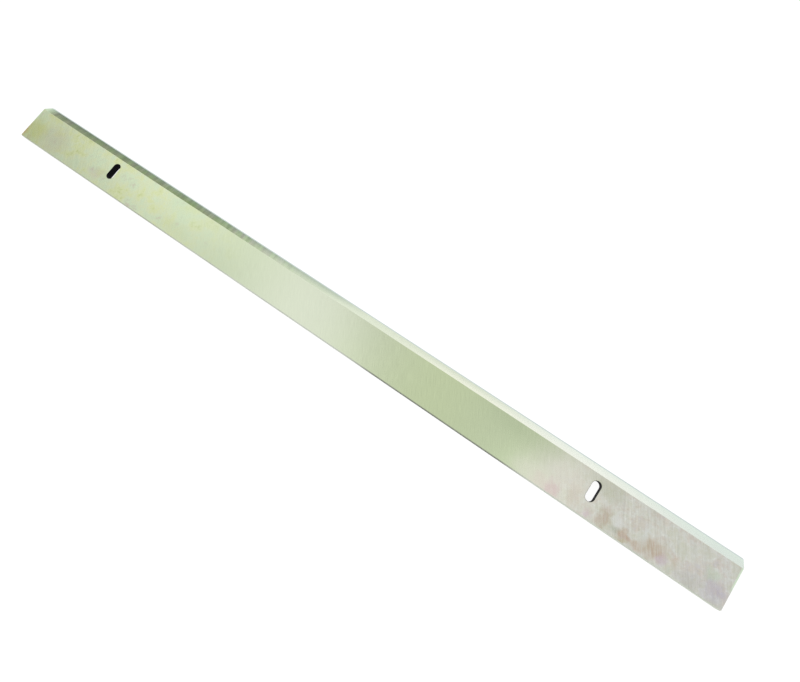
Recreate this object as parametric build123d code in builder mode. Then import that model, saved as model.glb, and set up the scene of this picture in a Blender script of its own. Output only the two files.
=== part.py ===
from build123d import *
import os
from math import radians, tan

# Planer knife, lying flat on its rake face with the bevel up.
# X runs along the knife, +Y points to the cutting edge, +Z points up.
# The origin is on the rake face, at mid-length and mid-width. All sizes are in millimetres.

# The ground bar
KNIFE_LENGTH = 319.0
KNIFE_WIDTH = 18.0
KNIFE_THICKNESS = 3.2

# The cutting edge: angles are measured from the rake face
BEVEL_ANGLE = 45.0
HONED_ANGLE = 48.0
HONED_HEIGHT = 0.5

# The two slots that hold the knife on its height screws, cut across the width
SLOT_END_MARGIN = 48.5
SLOT_EDGE_MARGIN = 9.0
SLOT_LENGTH = 7.4
SLOT_WIDTH = 3.2

# Corners taken off so that the knife can be handled
BACK_EDGE_CHAMFER = 0.3
BACK_CORNER_RADIUS = 0.5
SLOT_RIM_CHAMFER = 0.1

half_length = KNIFE_LENGTH / 2
back_y = -KNIFE_WIDTH / 2
edge_y = KNIFE_WIDTH / 2
honed_run = HONED_HEIGHT / tan(radians(HONED_ANGLE))
bevel_run = (KNIFE_THICKNESS - HONED_HEIGHT) / tan(radians(BEVEL_ANGLE))
arris_y = edge_y - honed_run - bevel_run
slot_spacing = KNIFE_LENGTH - 2 * SLOT_END_MARGIN
slot_y = edge_y - SLOT_EDGE_MARGIN

with BuildPart() as planer_knife:
    # Ground section: flat rake face below, honed strip and bevel at the edge, square back
    with BuildSketch(Plane.YZ) as section:
        with BuildLine():
            Polyline(
                (back_y, 0),
                (edge_y, 0),
                (edge_y - honed_run, HONED_HEIGHT),
                (arris_y, KNIFE_THICKNESS),
                (back_y, KNIFE_THICKNESS),
                close=True,
            )
        make_face()
    extrude(amount=half_length, both=True)

    # The back face, with its two upright corners rounded and its long edges broken
    back_face = planer_knife.faces().sort_by(Axis.Y)[0]
    fillet(back_face.edges().filter_by(Axis.Z), radius=BACK_CORNER_RADIUS)
    back_face = planer_knife.faces().sort_by(Axis.Y)[0]
    chamfer(back_face.edges().filter_by(Axis.X), length=BACK_EDGE_CHAMFER)

    # Slots through the bar, near each end, with their long axis across the knife
    with BuildSketch():
        with Locations((0, slot_y)):
            with GridLocations(slot_spacing, 0, 2, 1):
                SlotOverall(SLOT_LENGTH, SLOT_WIDTH, rotation=90)
    extrude(amount=KNIFE_THICKNESS, mode=Mode.SUBTRACT)

    # The slot rims, broken on both faces
    flat_faces = planer_knife.faces().filter_by(Axis.Z)
    rims = [wire for face in flat_faces for wire in face.inner_wires()]
    chamfer([edge for rim in rims for edge in rim.edges()], length=SLOT_RIM_CHAMFER)

planer_knife.part.label = "planer_knife"

os.makedirs("parts", exist_ok=True)
export_step(planer_knife.part, "parts/planer_knife.step")
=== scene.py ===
from math import radians, tan

import bpy
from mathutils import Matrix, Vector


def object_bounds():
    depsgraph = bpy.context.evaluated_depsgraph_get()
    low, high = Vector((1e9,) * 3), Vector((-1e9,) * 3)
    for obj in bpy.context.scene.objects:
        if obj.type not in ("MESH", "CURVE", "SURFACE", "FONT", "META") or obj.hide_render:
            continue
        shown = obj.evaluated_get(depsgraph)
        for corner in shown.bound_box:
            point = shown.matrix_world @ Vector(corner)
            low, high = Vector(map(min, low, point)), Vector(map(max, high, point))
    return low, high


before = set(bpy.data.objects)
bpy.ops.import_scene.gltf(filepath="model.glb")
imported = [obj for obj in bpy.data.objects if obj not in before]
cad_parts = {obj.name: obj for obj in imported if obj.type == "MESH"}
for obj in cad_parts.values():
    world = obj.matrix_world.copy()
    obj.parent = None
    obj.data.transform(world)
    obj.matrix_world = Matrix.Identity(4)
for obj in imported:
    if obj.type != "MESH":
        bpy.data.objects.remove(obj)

cad_box = [list(corner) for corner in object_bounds()]

# THE GROUND BAR
# One bar of hardened high-speed steel, 319 mm long, lying on its flat face with the bevel up.
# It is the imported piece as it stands: only its finish is made here, in one material whose
# zones follow the bar's own sizes. Positions in the material are in millimetres.
# The origin is at mid-length and mid-width, so the box's high corner gives the sizes.

half_length, half_width, thickness = [1000 * size for size in cad_box[1]]

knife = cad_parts["planer_knife"]
steel = bpy.data.materials.new("ground_tool_steel")
steel.use_nodes = True
finish = steel.node_tree
finish.nodes.clear()
shader = finish.nodes.new("ShaderNodeBsdfPrincipled")
surface_out = finish.nodes.new("ShaderNodeOutputMaterial")
finish.links.new(shader.outputs["BSDF"], surface_out.inputs["Surface"])


def put(tree, kind, inputs, **settings):
    """One node in that tree. An input is a number, a vector or another node's output."""
    made = tree.nodes.new("ShaderNode" + kind)
    for name, value in settings.items():
        setattr(made, name, value)
    for socket, value in inputs.items():
        if isinstance(value, bpy.types.NodeSocket):
            tree.links.new(value, made.inputs[socket])
        else:
            made.inputs[socket].default_value = value
    return made


def sums(operation, *values):
    """Arithmetic on one or two values of the finish."""
    return put(finish, "Math", dict(enumerate(values)), operation=operation).outputs[0]


def both(*masks):
    """Where all the masks hold."""
    held = masks[0]
    for mask in masks[1:]:
        held = sums("MULTIPLY", held, mask)
    return held


def rise(value, start, stop, low=0.0, high=1.0):
    """Goes smoothly from low to high while the value goes from start to stop."""
    ends = {"Value": value, "From Min": start, "From Max": stop, "To Min": low, "To Max": high}
    return put(finish, "MapRange", ends, interpolation_type="SMOOTHSTEP").outputs[0]


metres = finish.nodes.new("ShaderNodeTexCoord").outputs["Object"]
place = put(finish, "VectorMath", {0: metres, "Scale": 1000.0}, operation="SCALE").outputs[0]
along, across, height = put(finish, "SeparateXYZ", {0: place}).outputs

# Where each zone of the bar lies, with a hair's breadth for the change from one to the next
bevel_angle = radians(45)
honed_angle = radians(48)
honed_height = 0.5
honed_run = honed_height / tan(honed_angle)
bevel_run = (thickness - honed_height) / tan(bevel_angle)
arris_across = half_width - honed_run - bevel_run
back_chamfer = 0.3
hair = 0.01

above_rake = rise(height, hair, 2 * hair)
above_honed = rise(height, honed_height - hair, honed_height + hair)
past_arris = rise(across, arris_across - hair, arris_across + hair)
below_face = rise(height, thickness - hair, thickness - 2 * hair)
from_middle = sums("ABSOLUTE", along)
on_end = rise(from_middle, half_length - 2 * hair, half_length - hair)
on_back = rise(across, 2 * hair - half_width, hair - half_width)
on_chamfer = both(
    rise(across, hair + back_chamfer - half_width, back_chamfer - half_width),
    rise(height, thickness - back_chamfer - hair, thickness - back_chamfer),
)
on_bevel = both(past_arris, above_honed, below_face)
on_honed = both(past_arris, above_rake, sums("SUBTRACT", 1.0, above_honed))
on_rake = sums("SUBTRACT", 1.0, above_rake)

# THE GROUND FACES
# The two broad faces are ground flat on a surface grinder, whose wheel leaves short fine lines
# that lean across the bar. Handling and cutting fluid leave a straw and grey-green haze, which
# drifts to a neutral grey at the right end and is most broken up near both ends.


def colour(red, green, blue):
    """A colour as it is seen, 0 to 255, in the linear values that a shader takes."""
    seen = [channel / 255 for channel in (red, green, blue)]
    linear = [c / 12.92 if c <= 0.04045 else ((c + 0.055) / 1.055) ** 2.4 for c in seen]
    return (*linear, 1.0)


def shaded(share, stops):
    """Colours that follow a value from 0 to 1."""
    made = put(finish, "ValToRGB", {"Fac": share})
    ramp = made.color_ramp
    ramp.interpolation = "EASE"
    for _ in stops[2:]:
        ramp.elements.new(0.5)
    for element, (at, seen_colour) in zip(ramp.elements, stops):
        element.position = at
        element.color = colour(*seen_colour)
    return made.outputs["Color"]


def graded(stops):
    """Colours that pass smoothly into each other along the bar: millimetres, then colour."""
    share = put(
        finish, "MapRange", {"Value": along, "From Min": -half_length, "From Max": half_length}
    ).outputs[0]
    return shaded(share, [((at + half_length) / (2 * half_length), c) for at, c in stops])


face_colour = graded(
    [
        (-159, (192, 200, 146)),
        (-120, (207, 216, 180)),
        (-50, (195, 206, 177)),
        (-5, (208, 215, 194)),
        (50, (208, 221, 180)),
        (80, (202, 215, 179)),
        (101, (220, 220, 205)),
        (125, (192, 194, 180)),
        (155, (184, 185, 181)),
    ]
)


def cloud(vector, size, detail=3.0, roughness=0.55, seed=0.0):
    """Cloudy noise from 0 to 1, with clouds of about that size. Each seed gives other clouds."""
    wanted = {"Vector": vector, "W": seed, "Scale": 1 / size}
    wanted.update(Detail=detail, Roughness=roughness)
    return put(finish, "TexNoise", wanted, noise_dimensions="4D").outputs["Fac"]


def tint(mask, under, over):
    """One colour over another, as far as the mask goes. The Mix node's colours are 6 and 7."""
    return put(
        finish, "Mix", {0: mask, 6: under, 7: over}, data_type="RGBA", clamp_factor=True
    ).outputs[2]


# Haze in patches of about 5 mm, of different tints at each end, and at the right a finer
# speckle of 1.5 mm over half of it
haze = cloud(place, 5.0, detail=5, roughness=0.65, seed=1.3)
left_haze = shaded(
    haze,
    [
        (0.3, (186, 196, 134)),
        (0.42, (206, 214, 168)),
        (0.5, (205, 214, 180)),
        (0.58, (200, 215, 184)),
        (0.7, (194, 190, 172)),
    ],
)
right_haze = shaded(
    haze,
    [
        (0.3, (176, 186, 162)),
        (0.42, (188, 191, 174)),
        (0.5, (200, 202, 195)),
        (0.58, (191, 182, 173)),
        (0.7, (179, 175, 188)),
    ],
)
speckle = cloud(place, 1.5, detail=4, roughness=0.7, seed=4.4)
right_speckle = shaded(
    speckle,
    [
        (0.34, (166, 168, 152)),
        (0.45, (190, 184, 172)),
        (0.55, (190, 190, 186)),
        (0.66, (212, 214, 210)),
    ],
)
left_haze_depth = rise(along, -30, -90, 0.0, 0.85)
right_haze_depth = rise(along, 85, 120, 0.0, 0.6)
speckle_depth = sums("MULTIPLY", right_haze_depth, 0.5)
face_colour = tint(left_haze_depth, face_colour, left_haze)
face_colour = tint(right_haze_depth, face_colour, right_haze)
face_colour = tint(speckle_depth, face_colour, right_speckle)


def blend_value(mask, under, over):
    """One value over another, as far as the mask goes. The Mix node's values are 2 and 3."""
    return put(finish, "Mix", {0: mask, 2: under, 3: over}, data_type="FLOAT").outputs[0]


def times(base, shade):
    """A colour multiplied by a value or by another colour."""
    return put(
        finish, "Mix", {0: 1.0, 6: base, 7: shade}, data_type="RGBA", blend_type="MULTIPLY"
    ).outputs[2]


# The left half is paler toward the bevel than toward the back, and more so at its end
left_half_grade = sums("ADD", rise(across, 6, -half_width, 1.04, 0.92), rise(along, -105, -130, 0.0, 0.04))
face_colour = times(face_colour, blend_value(rise(along, -10, -60), 1.0, left_half_grade))


def lines(vector, lengths, detail=2.0, seed=0.0):
    """Drawn-out noise: lengths are how far a mark runs each way, in millimetres."""
    scales = tuple(1 / length for length in lengths)
    stretched = put(
        finish, "VectorMath", {0: vector, 1: scales}, operation="MULTIPLY"
    ).outputs[0]
    return cloud(stretched, 1.0, detail=detail, seed=seed)


def spread(marks, low, high):
    """Noise keeps mostly between 0.3 and 0.7: here that goes from low to high."""
    return rise(marks, 0.3, 0.7, low, high)


def scored(base, marks, darkest, lightest):
    """A colour made darker and lighter by a finish's marks."""
    return times(base, spread(marks, darkest, lightest))


def either(*masks):
    """Where any of the masks holds."""
    held = masks[0]
    for mask in masks[1:]:
        held = sums("MAXIMUM", held, mask)
    return held


# The grinding lines lean 30 degrees from square across. Hairlines show all over, and the
# coarser grain mostly where handling has worn the two ends.
line_lean = 30
turned = put(
    finish,
    "VectorRotate",
    {"Vector": place, "Axis": (0.0, 0.0, 1.0), "Angle": radians(90 - line_lean)},
    rotation_type="AXIS_ANGLE",
).outputs[0]
hairlines = lines(turned, (5, 0.07, 40), detail=2, seed=14.0)
fine_grain = lines(turned, (6, 0.2, 40), detail=3, seed=2.0)
broad_grain = lines(turned, (13, 0.7, 40), detail=2, seed=7.0)
grain = blend_value(0.5, broad_grain, fine_grain)
worn_ends = either(rise(along, 75, 120), rise(along, -70, -140, 0.0, 0.4))
face_colour = scored(face_colour, hairlines, 0.93, 1.05)
face_colour = tint(
    worn_ends,
    scored(face_colour, grain, 0.985, 1.01),
    scored(face_colour, grain, 0.88, 1.08),
)
face_rough = spread(hairlines, 0.18, 0.25)

# A painted highlight lies on the rim of the face at the two ends, brighter toward the cutting
# edge
end_rim_highlight_width = 0.9
end_rim_highlight = both(
    rise(from_middle, half_length - end_rim_highlight_width, half_length - end_rim_highlight_width / 3),
    rise(across, -4, 0, 0.0, 0.6),
)
face_colour = tint(end_rim_highlight, face_colour, colour(202, 226, 196))

# THE STAINS
# Thin rust-brown, pink and lilac water stains stand along the back of the bar past the
# right-hand slot, with wiped pale spots between them, and the left end has a rusty corner.
# Each is a soft blot with a frayed outline: where, how long and wide, its colour, how strong.

stains = [
    ((84.0, 6.5), (34, 13), (186, 199, 164), 0.8),
    ((90.5, -6.5), (13, 8), (224, 226, 208), 0.6),
    ((101.0, 0.5), (13, 9), (222, 222, 208), 0.5),
    ((95.0, -7.0), (6, 5), (216, 204, 194), 0.5),
    ((99.8, -7.0), (5, 6), (214, 190, 190), 0.7),
    ((106.5, -4.5), (4, 8), (206, 194, 180), 0.5),
    ((112.6, -7.2), (3, 3), (202, 182, 192), 0.6),
    ((116.0, 3.5), (11, 6), (180, 182, 163), 0.5),
    ((117.8, -5.2), (4, 7), (178, 162, 144), 0.7),
    ((121.8, -3.6), (4, 4), (208, 210, 206), 0.8),
    ((122.8, -6.2), (4, 3), (164, 168, 152), 0.7),
    ((125.4, -6.2), (4, 3), (174, 150, 128), 0.7),
    ((125.0, -8.3), (4, 2), (166, 160, 118), 0.6),
    ((129.8, -7.2), (5, 3), (177, 158, 138), 0.7),
    ((131.0, -2.8), (3, 7), (204, 208, 204), 0.75),
    ((134.8, -4.6), (8, 7), (175, 156, 136), 0.8),
    ((138.2, -6.2), (3, 4), (186, 171, 184), 0.6),
    ((142.0, -4.3), (4, 3), (188, 172, 154), 0.6),
    ((147.0, 1.0), (9, 6), (196, 198, 188), 0.5),
    ((147.5, -6.5), (8, 5), (174, 171, 170), 0.5),
    ((152.5, -1.4), (5, 4), (180, 194, 172), 0.6),
    ((155.0, -5.0), (7, 7), (174, 169, 181), 0.6),
    ((-155.5, -4.5), (12, 12), (184, 190, 122), 0.75),
    ((-144.0, -3.0), (13, 12), (190, 188, 164), 0.65),
    ((-117.5, -4.8), (6, 4), (198, 188, 174), 0.5),
    ((-114.8, -3.2), (7, 3), (190, 196, 150), 0.4),
    ((-73.0, 2.5), (16, 8), (200, 219, 188), 0.4),
    ((-72.0, -6.0), (16, 6), (194, 203, 160), 0.4),
    ((-160.3, -6.3), (4, 8), (184, 142, 92), 0.95),
]


def shift(operation, vector, by, socket=1):
    """Arithmetic on positions of the finish."""
    return put(finish, "VectorMath", {0: vector, socket: by}, operation=operation).outputs[0]


def strayed(vector, size, distance, seed):
    """Positions moved about by noise, which frays the outline of what is drawn there."""
    wanted = {"Vector": vector, "W": seed, "Scale": 1 / size, "Detail": 3.0}
    noise = put(finish, "TexNoise", wanted, noise_dimensions="4D").outputs["Color"]
    centred = shift("SUBTRACT", noise, (0.5, 0.5, 0.5))
    return shift("ADD", vector, shift("SCALE", centred, distance, socket="Scale"))


# A blot is full to 0.3 of its half size, gone at 1.5 of it, and thinned along the grinding
blot_core, blot_rim = 0.3, 1.5
stain_place = strayed(place, 3.0, 6.0, seed=9.0)
stain_film = lines(turned, (5, 0.3, 40), detail=3, seed=6.0)
thinned = rise(stain_film, 0.3, 0.65, 0.45, 1.0)
face_stained = face_colour
stain_amount = 0.0
for (stain_along, stain_across), (length, width), stain_colour, strength in stains:
    from_stain = shift("SUBTRACT", stain_place, (stain_along, stain_across, thickness))
    reach = shift("MULTIPLY", from_stain, (2 / length, 2 / width, 0.0))
    off_middle = put(finish, "VectorMath", {0: reach}, operation="LENGTH").outputs["Value"]
    blot = both(rise(off_middle, blot_rim, blot_core, 0.0, strength), thinned)
    face_stained = tint(blot, face_stained, colour(*stain_colour))
    stain_amount = either(stain_amount, blot)
stain_roughening = 0.12
stained_rough = sums("ADD", face_rough, both(stain_amount, stain_roughening))

# THE BEVEL AND THE HONED STRIP
# The 45-degree bevel is ground on a cup wheel, whose lines lean across it. It is brighter than
# the faces at the right end, and toward the left it is painted dark, a painted reflection and
# shade, more so by the edge than by the arris. A 0.5 mm strip at the very edge is honed steeper
# and stays a clean grey line.

# Toward the left these colours hold a painted dark reflection and painted shade
by_arris = graded(
    [
        (-159, (194, 214, 178)),
        (-153, (126, 140, 98)),
        (-125, (126, 142, 97)),
        (-75, (134, 152, 106)),
        (-15, (205, 216, 190)),
        (12, (226, 234, 212)),
        (60, (238, 241, 222)),
        (105, (239, 242, 231)),
        (155, (217, 226, 218)),
    ]
)
by_edge = graded(
    [
        (-159, (176, 198, 172)),
        (-153, (96, 113, 90)),
        (-130, (99, 121, 92)),
        (-75, (136, 155, 132)),
        (-5, (178, 192, 174)),
        (16, (220, 228, 207)),
        (55, (213, 221, 201)),
        (100, (230, 237, 226)),
        (155, (216, 228, 218)),
    ]
)
toward_edge = rise(across, arris_across, half_width)
bevel_colour = tint(toward_edge, by_arris, by_edge)
# The left part, painted dark as a reflection, also takes the oil film and stronger marks
oil_film_and_dark_reflection = rise(along, 0, -60)
bevel_fine = lines(turned, (5, 0.12, 40), detail=3, seed=3.0)
bevel_broad = lines(turned, (14, 1.4, 40), detail=2, seed=8.0)
bevel_grain = blend_value(0.4, bevel_broad, bevel_fine)
bevel_colour = tint(
    oil_film_and_dark_reflection,
    scored(bevel_colour, bevel_grain, 0.95, 1.03),
    scored(bevel_colour, bevel_grain, 0.64, 1.26),
)

# The oil film shows mauve and green in turn, and is wiped off the last few millimetres
film_band = lines(turned, (30, 3.0, 40), detail=1, seed=11.0)
film_tint = tint(rise(film_band, 0.4, 0.6), colour(246, 254, 236), colour(254, 244, 254))
filmed = both(oil_film_and_dark_reflection, rise(along, -158, -153))
bevel_colour = tint(filmed, bevel_colour, times(bevel_colour, film_tint))

# A painted highlight lies along the arris over the bevel, here and there
off_arris = sums("ABSOLUTE", sums("SUBTRACT", across, arris_across))
highlight_patches = lines(place, (9, 40, 40), seed=15.0)
arris_highlight = both(rise(off_arris, 0.1, 0.04), rise(highlight_patches, 0.4, 0.6, 0.0, 0.4))
hone_marks = lines(place, (9, 0.06, 40), detail=2, seed=16.0)
honed_colour = scored(colour(200, 211, 208), hone_marks, 0.93, 1.04)
bevel_rough = spread(bevel_grain, 0.2, 0.3)
honed_rough = 0.14

# THE SLOTS, THE BACK AND THE ENDS
# The slots were milled before hardening, so their walls keep the black scale of the furnace;
# their near-black colour also holds painted shade of the slot's depth.
# The back edge was ground lengthwise, and past mid-length a painted dark reflection lies on it,
# made matt.
# The two ends were cut off and dressed on a belt, whose lines stand upright.

slot_end_margin = 48.5
slot_length = 7.4
slot_half_width = 1.6
slot_along = half_length - slot_end_margin
slot_straight = slot_length / 2 - slot_half_width
rim_chamfer = 0.1

beside_slot = sums("SUBTRACT", from_middle, slot_along)
beyond_straight = sums(
    "MAXIMUM", sums("SUBTRACT", sums("ABSOLUTE", across), slot_straight), 0.0
)
from_slot_line = sums(
    "SQRT",
    sums(
        "ADD",
        sums("MULTIPLY", beside_slot, beside_slot),
        sums("MULTIPLY", beyond_straight, beyond_straight),
    ),
)
rim_outside = slot_half_width + rim_chamfer
in_slot = rise(from_slot_line, slot_half_width + 6 * hair, slot_half_width + 3 * hair)
on_rim = both(
    rise(from_slot_line, rim_outside, rim_outside - 2 * hair),
    sums("SUBTRACT", 1.0, in_slot),
)

scale_patch = cloud(place, 1.4, detail=4, seed=5.0)
# Black scale with painted shade of the slot's depth, in patches
slot_scale_and_shade = tint(rise(scale_patch, 0.35, 0.7), colour(8, 6, 12), colour(20, 16, 26))

# The painted dark reflection on the back and its chamfer lies within 40 mm of its middle, and
# thin streaks of it all along
dark_reflection_middle = 55
from_dark_reflection = sums("ABSOLUTE", sums("SUBTRACT", along, dark_reflection_middle))
streaks = lines(place, (22, 40, 0.9), detail=3, seed=17.0)
back_dark_reflection = both(rise(from_dark_reflection, 40, 24), rise(streaks, 0.3, 0.6, 0.6, 0.85))
back_dark_reflection = either(back_dark_reflection, rise(streaks, 0.5, 0.75, 0.0, 0.4))
back_lines = lines(place, (14, 40, 0.1), detail=3, seed=12.0)
back_colour = tint(back_dark_reflection, colour(198, 204, 188), colour(42, 46, 38))
back_colour = scored(back_colour, back_lines, 0.82, 1.1)
chamfer_colour = tint(rise(along, -40, -90), colour(216, 221, 208), colour(186, 192, 170))
chamfer_colour = tint(back_dark_reflection, chamfer_colour, colour(142, 150, 126))
chamfer_colour = scored(chamfer_colour, back_lines, 0.9, 1.06)
end_lines = lines(place, (40, 0.12, 7), detail=3, seed=13.0)
end_colour = scored(colour(194, 203, 188), end_lines, 0.84, 1.1)

zone_colour = tint(on_bevel, face_stained, bevel_colour)
# The painted highlight along the arris goes over the faces and the bevel
zone_colour = tint(arris_highlight, zone_colour, colour(232, 236, 224))
zone_colour = tint(on_honed, zone_colour, honed_colour)
zone_colour = tint(on_rake, zone_colour, face_colour)
zone_colour = tint(on_end, zone_colour, end_colour)
zone_colour = tint(on_chamfer, zone_colour, chamfer_colour)
zone_colour = tint(on_back, zone_colour, back_colour)
zone_colour = tint(on_rim, zone_colour, colour(176, 184, 160))
zone_colour = tint(in_slot, zone_colour, slot_scale_and_shade)

zone_rough = blend_value(on_bevel, stained_rough, bevel_rough)
zone_rough = blend_value(on_honed, zone_rough, honed_rough)
zone_rough = blend_value(on_end, zone_rough, spread(end_lines, 0.3, 0.45))
zone_rough = blend_value(on_back, zone_rough, spread(back_lines, 0.28, 0.42))

# The slot scale and the painted dark reflection on the back don't shine as metal does, and take
# little light at a flat angle
matt = either(in_slot, both(on_back, back_dark_reflection))
zone_rough = blend_value(matt, zone_rough, 0.7)
zone_metal = sums("SUBTRACT", 1.0, matt)
shader.inputs["Specular IOR Level"].default_value = 0.1

# The marks can just be felt: they are some thousandths of a millimetre deep, in metres here
mark_depth = 0.000013
relief = both(grain, blend_value(worn_ends, 0.45, 1.0))
relief = blend_value(on_bevel, relief, both(bevel_grain, 0.4))
relief = blend_value(on_end, relief, end_lines)
relief = blend_value(on_back, relief, back_lines)
relief = blend_value(in_slot, relief, scale_patch)
bump = put(
    finish, "Bump", {"Height": relief, "Strength": 0.6, "Distance": mark_depth}
).outputs["Normal"]

finish.links.new(zone_colour, shader.inputs["Base Color"])
finish.links.new(zone_metal, shader.inputs["Metallic"])
finish.links.new(zone_rough, shader.inputs["Roughness"])
finish.links.new(bump, shader.inputs["Normal"])
knife.data.materials[0] = steel

# THE STUDIO
# A white table top, 3 m square, under the knife and a white room round it. The table glows for
# the camera and for reflections, and its paint still takes the knife's soft shadow.

white = (1.0, 1.0, 1.0, 1.0)
table_size = 3.0
table_gap = 0.00005
table_paint = 0.17
table_glow = 0.93

table_white = bpy.data.materials.new("white_table")
table_white.use_nodes = True
tree = table_white.node_tree
tree.nodes.clear()
rays = tree.nodes.new("ShaderNodeLightPath").outputs
seen = rays["Is Camera Ray"]
for other_ray in ("Is Glossy Ray", "Is Transmission Ray"):
    seen = put(tree, "Math", {0: seen, 1: rays[other_ray]}, operation="MAXIMUM").outputs[0]
strength = put(tree, "Math", {0: seen, 1: table_glow}, operation="MULTIPLY").outputs[0]
paint = put(tree, "BsdfDiffuse", {"Color": (table_paint, table_paint, table_paint, 1.0)})
light = put(tree, "Emission", {"Color": white, "Strength": strength})
total = put(tree, "AddShader", {0: paint.outputs[0], 1: light.outputs[0]})
put(tree, "OutputMaterial", {"Surface": total.outputs[0]})

reach_out = table_size / 2
corners = [(-1, -1), (1, -1), (1, 1), (-1, 1)]
table_mesh = bpy.data.meshes.new("table_top")
table_mesh.from_pydata(
    [(reach_out * right, reach_out * back, 0.0) for right, back in corners],
    [],
    [(0, 1, 2, 3)],
)
table_mesh.materials.append(table_white)
table_top = bpy.data.objects.new("table_top", table_mesh)
table_top.location = (0.0, 0.0, -table_gap)
bpy.context.scene.collection.objects.link(table_top)

# The room lights the knife at 0.8, and the camera sees it plain white
room_light = 0.8
room = bpy.data.worlds.new("white_room")
bpy.context.scene.world = room
room.use_nodes = True
tree = room.node_tree
tree.nodes.clear()
rays = tree.nodes.new("ShaderNodeLightPath").outputs
background = put(tree, "Background", {"Color": white, "Strength": room_light})
seen_white = put(tree, "Background", {"Color": white, "Strength": 1.0})
room_mix = put(
    tree,
    "MixShader",
    {0: rays["Is Camera Ray"], 1: background.outputs[0], 2: seen_white.outputs[0]},
)
put(tree, "OutputWorld", {"Surface": room_mix.outputs[0]})

# Two soft boxes hang over the ends, square to the camera's frame, with the camera between:
# where, how long and wide, and the watts. Where the gap between them mirrors in the face, it
# is duller, with the soft boundaries of light that the photograph shows.
box_height = 0.65
box_turn = radians(34.9)
soft_boxes = [
    ("soft_box_left", (-0.43, 0.005), (0.5, 0.6), 0.35),
    ("soft_box_right", (0.385, 0.025), (0.5, 0.32), 0.2),
]
for name, (box_along, box_across), (length, width), watts in soft_boxes:
    lamp = bpy.data.lights.new(name, "AREA")
    lamp.shape = "RECTANGLE"
    lamp.size = length
    lamp.size_y = width
    lamp.energy = watts
    hung = bpy.data.objects.new(name, lamp)
    hung.location = (box_along, box_across, box_height)
    hung.rotation_euler = (0.0, 0.0, box_turn)
    bpy.context.scene.collection.objects.link(hung)

# THE CAMERA
# It looks almost straight down from 188 mm, and stands toward the right end and the back
# edge, which is what makes the far left end small. Its place and turn were fitted to the
# corners and slots in the photograph.

camera_data = bpy.data.cameras.new("camera")
camera_data.sensor_fit = "HORIZONTAL"
camera_data.sensor_width = 36.0
camera_data.lens = 23.985
camera_data.clip_start = 0.005
camera = bpy.data.objects.new("camera", camera_data)
camera.location = (0.07026, -0.02284, 0.18805)
camera.rotation_euler = (radians(14.296), radians(5.143), radians(34.894))
bpy.context.scene.collection.objects.link(camera)
bpy.context.scene.camera = camera
bpy.context.scene.view_settings.view_transform = "Standard"
